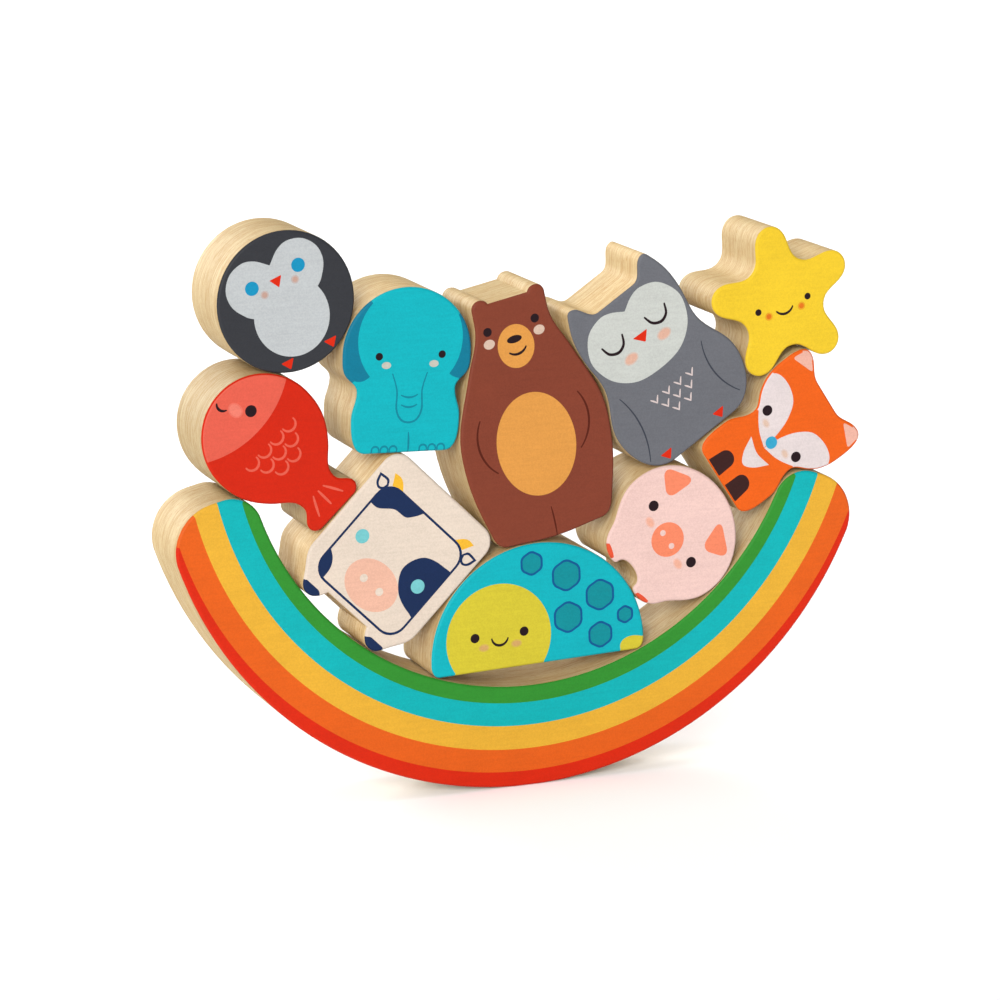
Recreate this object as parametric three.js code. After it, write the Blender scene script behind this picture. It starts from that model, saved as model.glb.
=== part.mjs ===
// Rainbow balancing puzzle: a painted wooden rocker with ten animal blocks stacked in its trough.
// Millimetres, +X to the right, +Y to the back, +Z up, origin on the floor under the middle.
// Every piece is a straight prism cut from the same board, drawn as an outline seen from the front.
// Levels and rises of a block are measured up from its base, leans anticlockwise in degrees.
// A heading is the direction in which the right half of an outline runs, 0 to the right and -90 down.
// An over is the place along the rocker, from its middle, at which a block is lowered on to the stack.

import * as THREE from 'three';

// Board, edges, seats and paint
const BOARD_THICKNESS = 24;
const EDGE_EASE = 0.6;
const SEAT_CLEARANCE = 0.3;
const PAINT_ROUGHNESS = 0.6;

// Rainbow rocker, with the level foot that it comes to rest on, and the most of a tip's width that the
// two roundings there may take up
const RAINBOW_OUTER_RADIUS = 111.6;
const RAINBOW_INNER_RADIUS = 86.4;
const RAINBOW_BAND = 30.4;
const RAINBOW_END_ANGLE = 16.3;
const RAINBOW_INNER_ROUNDING = 9;
const RAINBOW_OUTER_ROUNDING = 14;
const RAINBOW_TIP_FILL = 0.95;
const RAINBOW_FOOT_WIDTH = 9;
const RAINBOW_ROLL = -2.3;
const RAINBOW_COLOUR = 0xf06a28;

// Turtle
const TURTLE_WIDTH = 66.8;
const TURTLE_DOME = 32.7;
const TURTLE_SKIRT = 3.5;
const TURTLE_CORNER = 2.6;
const TURTLE_LEAN_ANGLE = 2.1;
const TURTLE_OVER = 3;
const TURTLE_COLOUR = 0x1abac6;

// Cow
const COW_WIDTH = 43.2;
const COW_HEIGHT = 48;
const COW_CORNER = 5.5;
const COW_SIDE_LEVEL = 12;
const COW_HEEL_WIDTH = 35.8;
const COW_HEEL_LEVEL = 4.4;
const COW_HEEL_HEADING = -125;
const COW_FOOT_SPREAD = 26;
const COW_RECESS_WIDTH = 16;
const COW_RECESS_DEPTH = 4.2;
const COW_RECESS_HEADING = 115;
const COW_LEAN_ANGLE = -44.5;
const COW_OVER = -45;
const COW_COLOUR = 0xeedfd2;

// Pig
const PIG_WIDTH = 43.1;
const PIG_CROWN = 18.9;
const PIG_BODY_RISE = 10;
const PIG_HIP_WIDTH = 35.6;
const PIG_HIP_RISE = 5;
const PIG_HIP_HEADING = -128;
const PIG_ANKLE_WIDTH = 28.8;
const PIG_ANKLE_LEVEL = 5;
const PIG_ANKLE_HEADING = -112;
const PIG_FOOT_SPREAD = 14;
const PIG_ARCH_WIDTH = 9.4;
const PIG_ARCH_SPRING = 1.2;
const PIG_ARCH_HEIGHT = 2.8;
const PIG_LEAN_ANGLE = -56;
const PIG_OVER = 45;
const PIG_COLOUR = 0xf2d0ca;

// Bear
const BEAR_SOLE_WIDTH = 29.2;
const BEAR_SOLE_BULGE = 1.1;
const BEAR_SOLE_HEADING = -176;
const BEAR_FOOT_WIDTH = 37.8;
const BEAR_FOOT_LEVEL = 4.8;
const BEAR_FOOT_HEADING = -106;
const BEAR_BELLY_WIDTH = 46.4;
const BEAR_BELLY_RISE = 25.2;
const BEAR_SHOULDER_WIDTH = 32.8;
const BEAR_SHOULDER_RISE = 23;
const BEAR_SHOULDER_HEADING = -69;
const BEAR_HEAD_WIDTH = 22.8;
const BEAR_HEAD_RISE = 15;
const BEAR_BROW_RISE = 4.5;
const BEAR_EAR_WIDTH = 5.3;
const BEAR_EAR_HEIGHT = 1.6;
const BEAR_EAR_HEADING = 65;
const BEAR_LEAN_ANGLE = 12.2;
const BEAR_OVER = 10;
const BEAR_COLOUR = 0x8c4632;

// Fox
const FOX_BASE_WIDTH = 20;
const FOX_HIP_WIDTH = 28;
const FOX_HIP_LEVEL = 10.5;
const FOX_WAIST_WIDTH = 22.2;
const FOX_WAIST_RISE = 9.1;
const FOX_JAW_WIDTH = 29.4;
const FOX_JAW_RISE = 4.9;
const FOX_JAW_HEADING = -130;
const FOX_HEAD_WIDTH = 36.4;
const FOX_HEAD_RISE = 12;
const FOX_EAR_SPREAD = 29;
const FOX_EAR_RISE = 7.5;
const FOX_BROW_WIDTH = 11;
const FOX_BROW_DROP = 3;
const FOX_LEAN_ANGLE = -57;
const FOX_OVER = 60;
const FOX_COLOUR = 0xf5641e;

// Fish, standing on its tail
const FISH_TAIL_WIDTH = 18.6;
const FISH_TAIL_LEVEL = 2.7;
const FISH_TAIL_CORNER = 2.8;
const FISH_WAIST_WIDTH = 12.6;
const FISH_WAIST_RISE = 5.6;
const FISH_FLANK_WIDTH = 24;
const FISH_FLANK_RISE = 8.2;
const FISH_FLANK_HEADING = -130;
const FISH_BODY_WIDTH = 35.6;
const FISH_BODY_RISE = 15.3;
const FISH_HEAD_LENGTH = 18.5;
const FISH_LEAN_ANGLE = 43.5;
const FISH_OVER = -70;
const FISH_COLOUR = 0xde2d1e;

// Owl
const OWL_BASE_WIDTH = 22;
const OWL_BODY_WIDTH = 45;
const OWL_BODY_LEVEL = 15.5;
const OWL_NECK_WIDTH = 34.7;
const OWL_NECK_RISE = 17.7;
const OWL_HEAD_WIDTH = 36;
const OWL_HEAD_RISE = 9;
const OWL_EAR_SPREAD = 27;
const OWL_EAR_RISE = 14.8;
const OWL_EAR_WIDTH = 30.6;
const OWL_EAR_DROP = 1.9;
const OWL_EAR_HEADING = -66;
const OWL_BROW_WIDTH = 13;
const OWL_BROW_DROP = 5.7;
const OWL_LEAN_ANGLE = 34;
const OWL_OVER = 50;
const OWL_COLOUR = 0x70747c;

// Elephant
const ELEPHANT_BASE_WIDTH = 23.5;
const ELEPHANT_HIP_WIDTH = 32.8;
const ELEPHANT_HIP_LEVEL = 10;
const ELEPHANT_NECK_WIDTH = 29.7;
const ELEPHANT_NECK_RISE = 7.8;
const ELEPHANT_LOBE_WIDTH = 34.4;
const ELEPHANT_LOBE_RISE = 3.5;
const ELEPHANT_LOBE_HEADING = -140;
const ELEPHANT_HEAD_WIDTH = 38.7;
const ELEPHANT_HEAD_RISE = 7.2;
const ELEPHANT_CROWN = 18.9;
const ELEPHANT_LEAN_ANGLE = -2;
const ELEPHANT_OVER = -38;
const ELEPHANT_COLOUR = 0x1abac4;

// Penguin
const PENGUIN_DIAMETER = 40.2;
const PENGUIN_LEAN_ANGLE = 23.3;
const PENGUIN_OVER = -70;
const PENGUIN_COLOUR = 0x3e3e42;

// Star
const STAR_ARMS = 5;
const STAR_RADIUS = 23;
const STAR_TIP_LENGTH = 4.4;
const STAR_TIP_WIDTH = 10;
const STAR_TIP_HEADING = -76;
const STAR_NOTCH_RADIUS = 13.5;
const STAR_LEAN_ANGLE = 13.5;
const STAR_OVER = 76;
const STAR_COLOUR = 0xf6d032;

// Stacking: how high a block starts, the steps it sinks in, and its headings, down first and then aside.
const LIFT = 300;
const FIRST_STEP = 8;
const LAST_STEP = 0.004;
const SINK_HEADINGS = [-90, -75, -105, -60, -120, -45, -135, -30, -150, -15, -165, -8, -172, -2, -178];

// Curves: how far a facet may leave its curve, how many chords measure the curve first, and handle
// lengths that turn a quarter circle, as a share of the chord between stations and of the way to a corner
const CHORD_ERROR = 0.02;
const CHORD_PROBE_COUNT = 24;
const CHORD_HANDLE_SHARE = 0.39;
const CORNER_HANDLE_SHARE = 0.55;

const radians = THREE.MathUtils.degToRad;

function vector(x, z) {
  return new THREE.Vector2(x, z);
}

function along(heading, distance) {
  return vector(distance * Math.cos(radians(heading)), distance * Math.sin(radians(heading)));
}

// Points on a curve, close enough together for its facets to stay within the chord error.
// A facet of length l that turns by t leaves its arc by l * t / 8.
function facets(curve) {
  const probe = curve.getPoints(CHORD_PROBE_COUNT);
  let length = 0;
  let turning = 0;
  for (let i = 1; i < probe.length; i++) {
    const step = probe[i].clone().sub(probe[i - 1]);
    length += step.length();
    if (i > 1) {
      const before = probe[i - 1].clone().sub(probe[i - 2]);
      turning += Math.abs(Math.atan2(before.cross(step), before.dot(step)));
    }
  }
  return curve.getPoints(Math.max(1, Math.ceil(Math.sqrt(length * turning / (8 * CHORD_ERROR)))));
}

// Smooth line through stations [x, z, heading], or [x, z, heading in, heading out] at a corner.
// A heading is the direction of travel in degrees, 0 to the right and 90 up.
function through(stations) {
  const points = [vector(stations[0][0], stations[0][1])];
  for (let i = 1; i < stations.length; i++) {
    const [x0, z0, into, out = into] = stations[i - 1];
    const [x1, z1, arrival] = stations[i];
    const start = vector(x0, z0);
    const end = vector(x1, z1);
    const reach = CHORD_HANDLE_SHARE * start.distanceTo(end);
    const leave = start.clone().add(along(out, reach));
    const arrive = end.clone().sub(along(arrival, reach));
    points.push(...facets(new THREE.CubicBezierCurve(start, leave, arrive, end)).slice(1));
  }
  return points;
}

// Whole outline from its right half, which runs from the middle of the top to the middle of the base.
function mirrored(stations) {
  const half = through(stations);
  const left = half.slice(1, -1).reverse().map((point) => vector(-point.x, point.y));
  return [...half, ...left];
}

// Curve that takes the corner off between two points.
function blend(start, corner, end) {
  const leave = start.clone().lerp(corner, CORNER_HANDLE_SHARE);
  const arrive = end.clone().lerp(corner, CORNER_HANDLE_SHARE);
  return facets(new THREE.CubicBezierCurve(start, leave, arrive, end));
}

function arc(middle, radius, from, to, clockwise) {
  const start = from.clone().sub(middle).angle();
  const end = to.clone().sub(middle).angle();
  return facets(new THREE.EllipseCurve(middle.x, middle.y, radius, radius, start, end, clockwise));
}

// Crescent between two circles, cut off square to the band, with rounded tips.
// The local origin is the middle of the outer circle, and its foot lies level on the floor.
function rainbowOutline() {
  const outerMiddle = vector(0, 0);
  const innerMiddle = vector(0, RAINBOW_INNER_RADIUS + RAINBOW_BAND - RAINBOW_OUTER_RADIUS);
  const cut = along(-RAINBOW_END_ANGLE, 1);
  const level = innerMiddle.dot(cut);
  const cutLength = Math.sqrt(level ** 2 - innerMiddle.lengthSq() + RAINBOW_OUTER_RADIUS ** 2) - level;

  const innerCorner = innerMiddle.clone().addScaledVector(cut, RAINBOW_INNER_RADIUS);
  const outerCorner = innerMiddle.clone().addScaledVector(cut, cutLength);
  const room = RAINBOW_TIP_FILL * (cutLength - RAINBOW_INNER_RADIUS);
  const fit = Math.min(1, room / (RAINBOW_INNER_ROUNDING + RAINBOW_OUTER_ROUNDING));
  const innerRounding = fit * RAINBOW_INNER_ROUNDING;
  const outerRounding = fit * RAINBOW_OUTER_ROUNDING;
  const innerTurn = -innerRounding / RAINBOW_INNER_RADIUS;
  const outerTurn = -outerRounding / RAINBOW_OUTER_RADIUS;
  const innerStart = innerCorner.clone().rotateAround(innerMiddle, innerTurn);
  const outerEnd = outerCorner.clone().rotateAround(outerMiddle, outerTurn);
  const rightTip = [
    ...blend(innerStart, innerCorner, innerCorner.clone().addScaledVector(cut, innerRounding)),
    ...blend(outerCorner.clone().addScaledVector(cut, -outerRounding), outerCorner, outerEnd),
  ];
  const leftTip = rightTip.map((point) => vector(-point.x, point.y)).reverse();

  const lowest = -90 - RAINBOW_ROLL;
  const halfFoot = THREE.MathUtils.radToDeg(Math.asin(RAINBOW_FOOT_WIDTH / (2 * RAINBOW_OUTER_RADIUS)));
  const footRight = along(lowest + halfFoot, RAINBOW_OUTER_RADIUS);
  const footLeft = along(lowest - halfFoot, RAINBOW_OUTER_RADIUS);
  return [
    ...rightTip,
    ...arc(outerMiddle, RAINBOW_OUTER_RADIUS, outerEnd, footRight, true).slice(1),
    ...arc(outerMiddle, RAINBOW_OUTER_RADIUS, footLeft, leftTip[0], true),
    ...leftTip.slice(1),
    ...arc(innerMiddle, RAINBOW_INNER_RADIUS, leftTip.at(-1), rightTip[0], false).slice(1, -1),
  ];
}

function turtleOutline() {
  return mirrored([
    [0, TURTLE_SKIRT + TURTLE_DOME, 0],
    [TURTLE_WIDTH / 2, TURTLE_SKIRT, -90],
    [TURTLE_WIDTH / 2 - TURTLE_CORNER, 0, 180],
    [0, 0, 180],
  ]);
}

function cowOutline() {
  return mirrored([
    [0, COW_HEIGHT, 0],
    [COW_WIDTH / 2 - COW_CORNER, COW_HEIGHT, 0],
    [COW_WIDTH / 2, COW_HEIGHT - COW_CORNER, -90],
    [COW_WIDTH / 2, COW_SIDE_LEVEL, -90],
    [COW_HEEL_WIDTH / 2, COW_HEEL_LEVEL, COW_HEEL_HEADING],
    [COW_FOOT_SPREAD / 2, 0, 180],
    [COW_RECESS_WIDTH / 2, COW_RECESS_DEPTH, COW_RECESS_HEADING, 180],
    [0, COW_RECESS_DEPTH, 180],
  ]);
}

function pigOutline() {
  const hip = PIG_ANKLE_LEVEL + PIG_HIP_RISE;
  const body = hip + PIG_BODY_RISE;
  return mirrored([
    [0, body + PIG_CROWN, 0],
    [PIG_WIDTH / 2, body, -90],
    [PIG_HIP_WIDTH / 2, hip, PIG_HIP_HEADING],
    [PIG_ANKLE_WIDTH / 2, PIG_ANKLE_LEVEL, PIG_ANKLE_HEADING],
    [PIG_FOOT_SPREAD / 2, 0, 180],
    [PIG_ARCH_WIDTH / 2, PIG_ARCH_SPRING, 90],
    [0, PIG_ARCH_SPRING + PIG_ARCH_HEIGHT, 180],
  ]);
}

function bearOutline() {
  const belly = BEAR_FOOT_LEVEL + BEAR_BELLY_RISE;
  const shoulder = belly + BEAR_SHOULDER_RISE;
  const head = shoulder + BEAR_HEAD_RISE;
  const brow = head + BEAR_BROW_RISE;
  const side = BEAR_HEAD_WIDTH / 2;
  return mirrored([
    [0, brow, 0],
    [side - BEAR_EAR_WIDTH, brow, 0, BEAR_EAR_HEADING],
    [side - BEAR_EAR_WIDTH / 2, brow + BEAR_EAR_HEIGHT, 0],
    [side, brow + BEAR_EAR_HEIGHT - BEAR_EAR_WIDTH / 2, -90],
    [side, head, -90],
    [BEAR_SHOULDER_WIDTH / 2, shoulder, BEAR_SHOULDER_HEADING],
    [BEAR_BELLY_WIDTH / 2, belly, -90],
    [BEAR_FOOT_WIDTH / 2, BEAR_FOOT_LEVEL, BEAR_FOOT_HEADING],
    [BEAR_SOLE_WIDTH / 2, BEAR_SOLE_BULGE, BEAR_SOLE_HEADING],
    [0, 0, 180],
  ]);
}

function foxOutline() {
  const waist = FOX_HIP_LEVEL + FOX_WAIST_RISE;
  const jaw = waist + FOX_JAW_RISE;
  const head = jaw + FOX_HEAD_RISE;
  const ear = head + FOX_EAR_RISE;
  return mirrored([
    [0, ear - FOX_BROW_DROP, 0],
    [FOX_BROW_WIDTH / 2, ear - FOX_BROW_DROP, 0],
    [FOX_EAR_SPREAD / 2, ear, 0],
    [FOX_HEAD_WIDTH / 2, head, -90],
    [FOX_JAW_WIDTH / 2, jaw, FOX_JAW_HEADING],
    [FOX_WAIST_WIDTH / 2, waist, -90],
    [FOX_HIP_WIDTH / 2, FOX_HIP_LEVEL, -90],
    [FOX_BASE_WIDTH / 2, 0, 180],
    [0, 0, 180],
  ]);
}

function fishOutline() {
  const waist = FISH_TAIL_LEVEL + FISH_WAIST_RISE;
  const flank = waist + FISH_FLANK_RISE;
  const body = flank + FISH_BODY_RISE;
  return mirrored([
    [0, body + FISH_HEAD_LENGTH, 0],
    [FISH_BODY_WIDTH / 2, body, -90],
    [FISH_FLANK_WIDTH / 2, flank, FISH_FLANK_HEADING],
    [FISH_WAIST_WIDTH / 2, waist, -90],
    [FISH_TAIL_WIDTH / 2, FISH_TAIL_LEVEL, -90],
    [FISH_TAIL_WIDTH / 2 - FISH_TAIL_CORNER, 0, 180],
    [0, 0, 180],
  ]);
}

function owlOutline() {
  const neck = OWL_BODY_LEVEL + OWL_NECK_RISE;
  const head = neck + OWL_HEAD_RISE;
  const ear = head + OWL_EAR_RISE;
  return mirrored([
    [0, ear - OWL_BROW_DROP, 0],
    [OWL_BROW_WIDTH / 2, ear - OWL_BROW_DROP, 0],
    [OWL_EAR_SPREAD / 2, ear, 0],
    [OWL_EAR_WIDTH / 2, ear - OWL_EAR_DROP, OWL_EAR_HEADING],
    [OWL_HEAD_WIDTH / 2, head, -90],
    [OWL_NECK_WIDTH / 2, neck, -90],
    [OWL_BODY_WIDTH / 2, OWL_BODY_LEVEL, -90],
    [OWL_BASE_WIDTH / 2, 0, 180],
    [0, 0, 180],
  ]);
}

function elephantOutline() {
  const neck = ELEPHANT_HIP_LEVEL + ELEPHANT_NECK_RISE;
  const lobe = neck + ELEPHANT_LOBE_RISE;
  const head = lobe + ELEPHANT_HEAD_RISE;
  return mirrored([
    [0, head + ELEPHANT_CROWN, 0],
    [ELEPHANT_HEAD_WIDTH / 2, head, -90],
    [ELEPHANT_LOBE_WIDTH / 2, lobe, ELEPHANT_LOBE_HEADING],
    [ELEPHANT_NECK_WIDTH / 2, neck, -90],
    [ELEPHANT_HIP_WIDTH / 2, ELEPHANT_HIP_LEVEL, -90],
    [ELEPHANT_BASE_WIDTH / 2, 0, 180],
    [0, 0, 180],
  ]);
}

function penguinOutline() {
  const rim = new THREE.EllipseCurve(0, 0, PENGUIN_DIAMETER / 2, PENGUIN_DIAMETER / 2);
  return facets(rim).slice(1);
}

function starOutline() {
  const pitch = 360 / STAR_ARMS;
  const shoulder = STAR_RADIUS - STAR_TIP_LENGTH;
  const turned = (x, z, heading, turn) => {
    const point = vector(x, z).rotateAround(vector(0, 0), radians(turn));
    return [point.x, point.y, heading + turn];
  };
  const stations = [turned(0, STAR_RADIUS, 0, 0)];
  for (let arm = 0; arm < STAR_ARMS; arm++) {
    const turn = -arm * pitch;
    stations.push(
      turned(STAR_TIP_WIDTH / 2, shoulder, STAR_TIP_HEADING, turn),
      turned(0, STAR_NOTCH_RADIUS, 0, turn - pitch / 2),
      turned(-STAR_TIP_WIDTH / 2, shoulder, -STAR_TIP_HEADING, turn - pitch),
      turned(0, STAR_RADIUS, 0, turn - pitch),
    );
  }
  return through(stations).slice(1);
}

// Blocks in the order in which they are stacked: name, outline, lean, over and colour.
const STACK = [
  ['turtle', turtleOutline(), TURTLE_LEAN_ANGLE, TURTLE_OVER, TURTLE_COLOUR],
  ['cow', cowOutline(), COW_LEAN_ANGLE, COW_OVER, COW_COLOUR],
  ['pig', pigOutline(), PIG_LEAN_ANGLE, PIG_OVER, PIG_COLOUR],
  ['bear', bearOutline(), BEAR_LEAN_ANGLE, BEAR_OVER, BEAR_COLOUR],
  ['fox', foxOutline(), FOX_LEAN_ANGLE, FOX_OVER, FOX_COLOUR],
  ['fish', fishOutline(), FISH_LEAN_ANGLE, FISH_OVER, FISH_COLOUR],
  ['owl', owlOutline(), OWL_LEAN_ANGLE, OWL_OVER, OWL_COLOUR],
  ['elephant', elephantOutline(), ELEPHANT_LEAN_ANGLE, ELEPHANT_OVER, ELEPHANT_COLOUR],
  ['penguin', penguinOutline(), PENGUIN_LEAN_ANGLE, PENGUIN_OVER, PENGUIN_COLOUR],
  ['star', starOutline(), STAR_LEAN_ANGLE, STAR_OVER, STAR_COLOUR],
];

function moved(outline, lean, place) {
  const middle = vector(0, 0);
  return outline.map((point) => point.clone().rotateAround(middle, radians(lean)).add(place));
}

function isInside(point, outline) {
  let inside = false;
  for (let i = 0, j = outline.length - 1; i < outline.length; j = i++) {
    const a = outline[i];
    const b = outline[j];
    const spans = a.y > point.y !== b.y > point.y;
    if (spans && point.x < a.x + (point.y - a.y) * (b.x - a.x) / (b.y - a.y)) {
      inside = !inside;
    }
  }
  return inside;
}

// Whether every corner of one outline stays outside the other and clear of its edges.
function keepsOff(corners, outline) {
  const box = new THREE.Box2().setFromPoints(outline).expandByScalar(SEAT_CLEARANCE);
  const near = corners.filter((corner) => box.containsPoint(corner));
  return near.every((corner) => {
    for (let i = 0, j = outline.length - 1; i < outline.length; j = i++) {
      const edge = outline[i].clone().sub(outline[j]);
      const offset = corner.clone().sub(outline[j]);
      const share = THREE.MathUtils.clamp(offset.dot(edge) / edge.lengthSq(), 0, 1);
      if (offset.addScaledVector(edge, -share).length() < SEAT_CLEARANCE) {
        return false;
      }
    }
    return !isInside(corner, outline);
  });
}

// Lowers a leaning outline, sliding it off what it meets, until it can't sink any further.
// It stays over the rocker, which is the first of the outlines placed.
function settled(outline, lean, over, placed) {
  const place = vector(over, LIFT);
  const span = new THREE.Box2().setFromPoints(placed[0]);
  for (let step = FIRST_STEP; step > LAST_STEP; step /= 2) {
    let turn = 0;
    while (turn < SINK_HEADINGS.length) {
      const next = place.clone().add(along(SINK_HEADINGS[turn], step));
      const block = moved(outline, lean, next);
      const isOver = next.x > span.min.x && next.x < span.max.x;
      if (isOver && placed.every((other) => keepsOff(block, other) && keepsOff(other, block))) {
        place.copy(next);
        turn = 0;
      } else {
        turn += 1;
      }
    }
  }
  return place;
}

// Prism of an outline with eased edges, as thick as the board and centred on it.
function board(name, outline, lean, place, colour) {
  const geometry = new THREE.ExtrudeGeometry(new THREE.Shape(outline), {
    depth: BOARD_THICKNESS - 2 * EDGE_EASE,
    bevelThickness: EDGE_EASE,
    bevelSize: EDGE_EASE,
    bevelOffset: -EDGE_EASE,
    bevelSegments: 1,
  });
  geometry.translate(0, 0, EDGE_EASE - BOARD_THICKNESS / 2);
  geometry.rotateX(Math.PI / 2);
  const material = new THREE.MeshStandardMaterial({
    color: colour,
    roughness: PAINT_ROUGHNESS,
    metalness: 0,
  });
  const mesh = new THREE.Mesh(geometry, material);
  mesh.name = name;
  mesh.position.set(place.x, 0, place.y);
  mesh.rotation.y = -radians(lean);
  return mesh;
}

const puzzle = new THREE.Group();
puzzle.name = 'rainbow_balancing_puzzle';

const rainbow = rainbowOutline();
const rolled = moved(rainbow, RAINBOW_ROLL, vector(0, 0));
const stand = vector(0, -Math.min(...rolled.map((point) => point.y)));
const placed = [moved(rainbow, RAINBOW_ROLL, stand)];
puzzle.add(board('rainbow', rainbow, RAINBOW_ROLL, stand, RAINBOW_COLOUR));
for (const [name, outline, lean, over, colour] of STACK) {
  const place = settled(outline, lean, over, placed);
  placed.push(moved(outline, lean, place));
  puzzle.add(board(name, outline, lean, place, colour));
}
const reach = new THREE.Box2().setFromPoints(placed.flat());
puzzle.position.x = -(reach.min.x + reach.max.x) / 2;

export default puzzle;
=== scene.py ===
import math

import bmesh
import bpy
from bpy.props import FloatProperty, FloatVectorProperty, PointerProperty
from mathutils import Color, Matrix, Vector
from mathutils.geometry import delaunay_2d_cdt, interpolate_bezier, intersect_line_line_2d


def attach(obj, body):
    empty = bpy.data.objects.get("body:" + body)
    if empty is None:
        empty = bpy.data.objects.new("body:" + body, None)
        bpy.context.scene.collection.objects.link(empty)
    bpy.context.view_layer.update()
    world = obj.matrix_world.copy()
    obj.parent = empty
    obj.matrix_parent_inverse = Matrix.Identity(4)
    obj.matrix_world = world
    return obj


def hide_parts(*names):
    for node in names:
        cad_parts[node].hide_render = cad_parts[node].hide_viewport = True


bl_info = {
    "name": "Rainbow balancing puzzle",
    "version": (1, 0, 0),
    "blender": (4, 5, 0),
    "location": "3D View > Sidebar > Puzzle",
    "description": "Dresses the painted wooden rocker and its ten blocks, and sets up the studio",
    "category": "Object",
}

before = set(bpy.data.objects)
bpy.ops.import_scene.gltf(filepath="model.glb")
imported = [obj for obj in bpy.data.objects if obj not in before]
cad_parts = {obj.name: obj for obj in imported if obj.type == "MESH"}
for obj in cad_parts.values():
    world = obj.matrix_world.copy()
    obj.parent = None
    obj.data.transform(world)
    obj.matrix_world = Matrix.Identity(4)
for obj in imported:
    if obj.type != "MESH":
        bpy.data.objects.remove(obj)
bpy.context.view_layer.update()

# Drawings are in millimetres, on a block that stands upright
MM = 0.001

# How far each block leans on the stack, in degrees anticlockwise
LEANS = {
    "rainbow": -2.3,
    "turtle": 2.1,
    "cow": -44.5,
    "pig": -56,
    "bear": 12.2,
    "fox": -57,
    "fish": 43.5,
    "owl": 34,
    "elephant": -2,
    "penguin": 23.3,
    "star": 13.5,
}

# Lightness of each block's bare wood: partly its own timber's tone, partly painted light, raised where
# sides lie in shade between blocks
WOOD_TONES_AND_PAINTED_LIGHT = {
    "rainbow": 0.91,
    "turtle": 0.98,
    "cow": 1.17,
    "pig": 1.0,
    "bear": 0.9,
    "fox": 0.93,
    "fish": 0.78,
    "owl": 1.0,
    "elephant": 0.96,
    "penguin": 0.87,
    "star": 0.92,
}

# Drawn arcs stay this close to the true arc, and points this close together are one point
CURVE_ERROR = 0.008
SAME_POINT = 0.002

# Arcs: least chords of an arc and of an oval, and the most of its radius that a chord may cut off
ARC_CHORDS = 4
OVAL_CHORDS = 16
DEEPEST_CUT = 0.5

# Steps round a corner or the end of a brush line, and spare chords of a brush line's arc
FAN_STEPS = 8

# Free curves: length of a chord, most points of a span, and what a span is divided by for a handle,
# at a pointed place and where two spans run on smoothly
CHORD_LENGTH = 0.45
SPAN_POINTS = 60
POINTED_PARTS = 3
SMOOTH_PARTS = 6

# Corners that are taken off: what a side is divided by for the most that one corner takes of it, and
# how far a handle reaches to the corner
SIDE_PARTS = 2.05
CORNER_HANDLE = 0.55

# Brush lines: half width at an end, and what it gains in the middle, as shares of the line's width
STROKE_END = 0.3
STROKE_GAIN = 0.2

# Half of the band in which a cheek fades into the coat
CHEEK_FADE = 0.22

# Slopes of a board's faces, as the share of the normal that points to the front or back: flat faces,
# paint on an eased edge, print inside a rim, and bare sides
CAP_SLOPE = 0.9999
PAINTED_SLOPE = 0.35
PRINTED_SLOPE = 0.8
SIDE_SLOPE = 0.02

# Sides that turn by less than this shade as one
SAME_SIDE = math.cos(math.radians(40))

# Boards, in metres: vertices that are merged, width of a cut, places that count as on the rim, and the
# steps in which places are told apart when they are sorted
MERGE_DISTANCE = 1e-6
CUT_DISTANCE = 1e-9
RIM_DISTANCE = SAME_POINT * MM / 2
ORDER_STEP = 1e-7

# Division of a flat face: points that are one point, and the kind of result that keeps all triangles
DIVISION_DISTANCE = SAME_POINT / 4
ALL_TRIANGLES = 0

# Arrises: angle that counts as flat, step in slope at an arris, and segments of its rounding
FLAT_ANGLE = math.radians(0.05)
ARRIS_STEP = 0.2
ARRIS_SEGMENTS = 2

# Surfaces: relief in millimetres, strength of the reflection, and metres of timber from board to board
WOOD_RELIEF = 0.06
PAINT_RELIEF = 0.02
SHINE = 0.12
TIMBER_STEP = 0.37

# Stage: roughness of the floor and width of the camera's sensor in millimetres
FLOOR_ROUGHNESS = 0.9
SENSOR_WIDTH = 36


def linear(red, green, blue):
    """Colour values from 0 to 255 as the plain light values that the shader takes"""
    return tuple(Color((red / 255, green / 255, blue / 255)).from_srgb_to_scene_linear())


def paint(name, description, red, green, blue):
    """A colour that a user may change"""
    return FloatVectorProperty(
        name=name, description=description, subtype="COLOR", min=0, max=1, default=linear(red, green, blue)
    )


def length(name, description, millimetres):
    """A size that a user may change"""
    return FloatProperty(name=name, description=description, unit="LENGTH", default=millimetres * MM)


def angle(name, description, degrees):
    """An angle that a user may change"""
    return FloatProperty(name=name, description=description, unit="ROTATION", default=math.radians(degrees))


def strength(name, description, default):
    """A light's strength that a user may change"""
    return FloatProperty(name=name, description=description, default=default, min=0)


def direction(name, description, way):
    """A way to a light that a user may change"""
    return FloatVectorProperty(name=name, description=description, subtype="DIRECTION", default=way)


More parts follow.
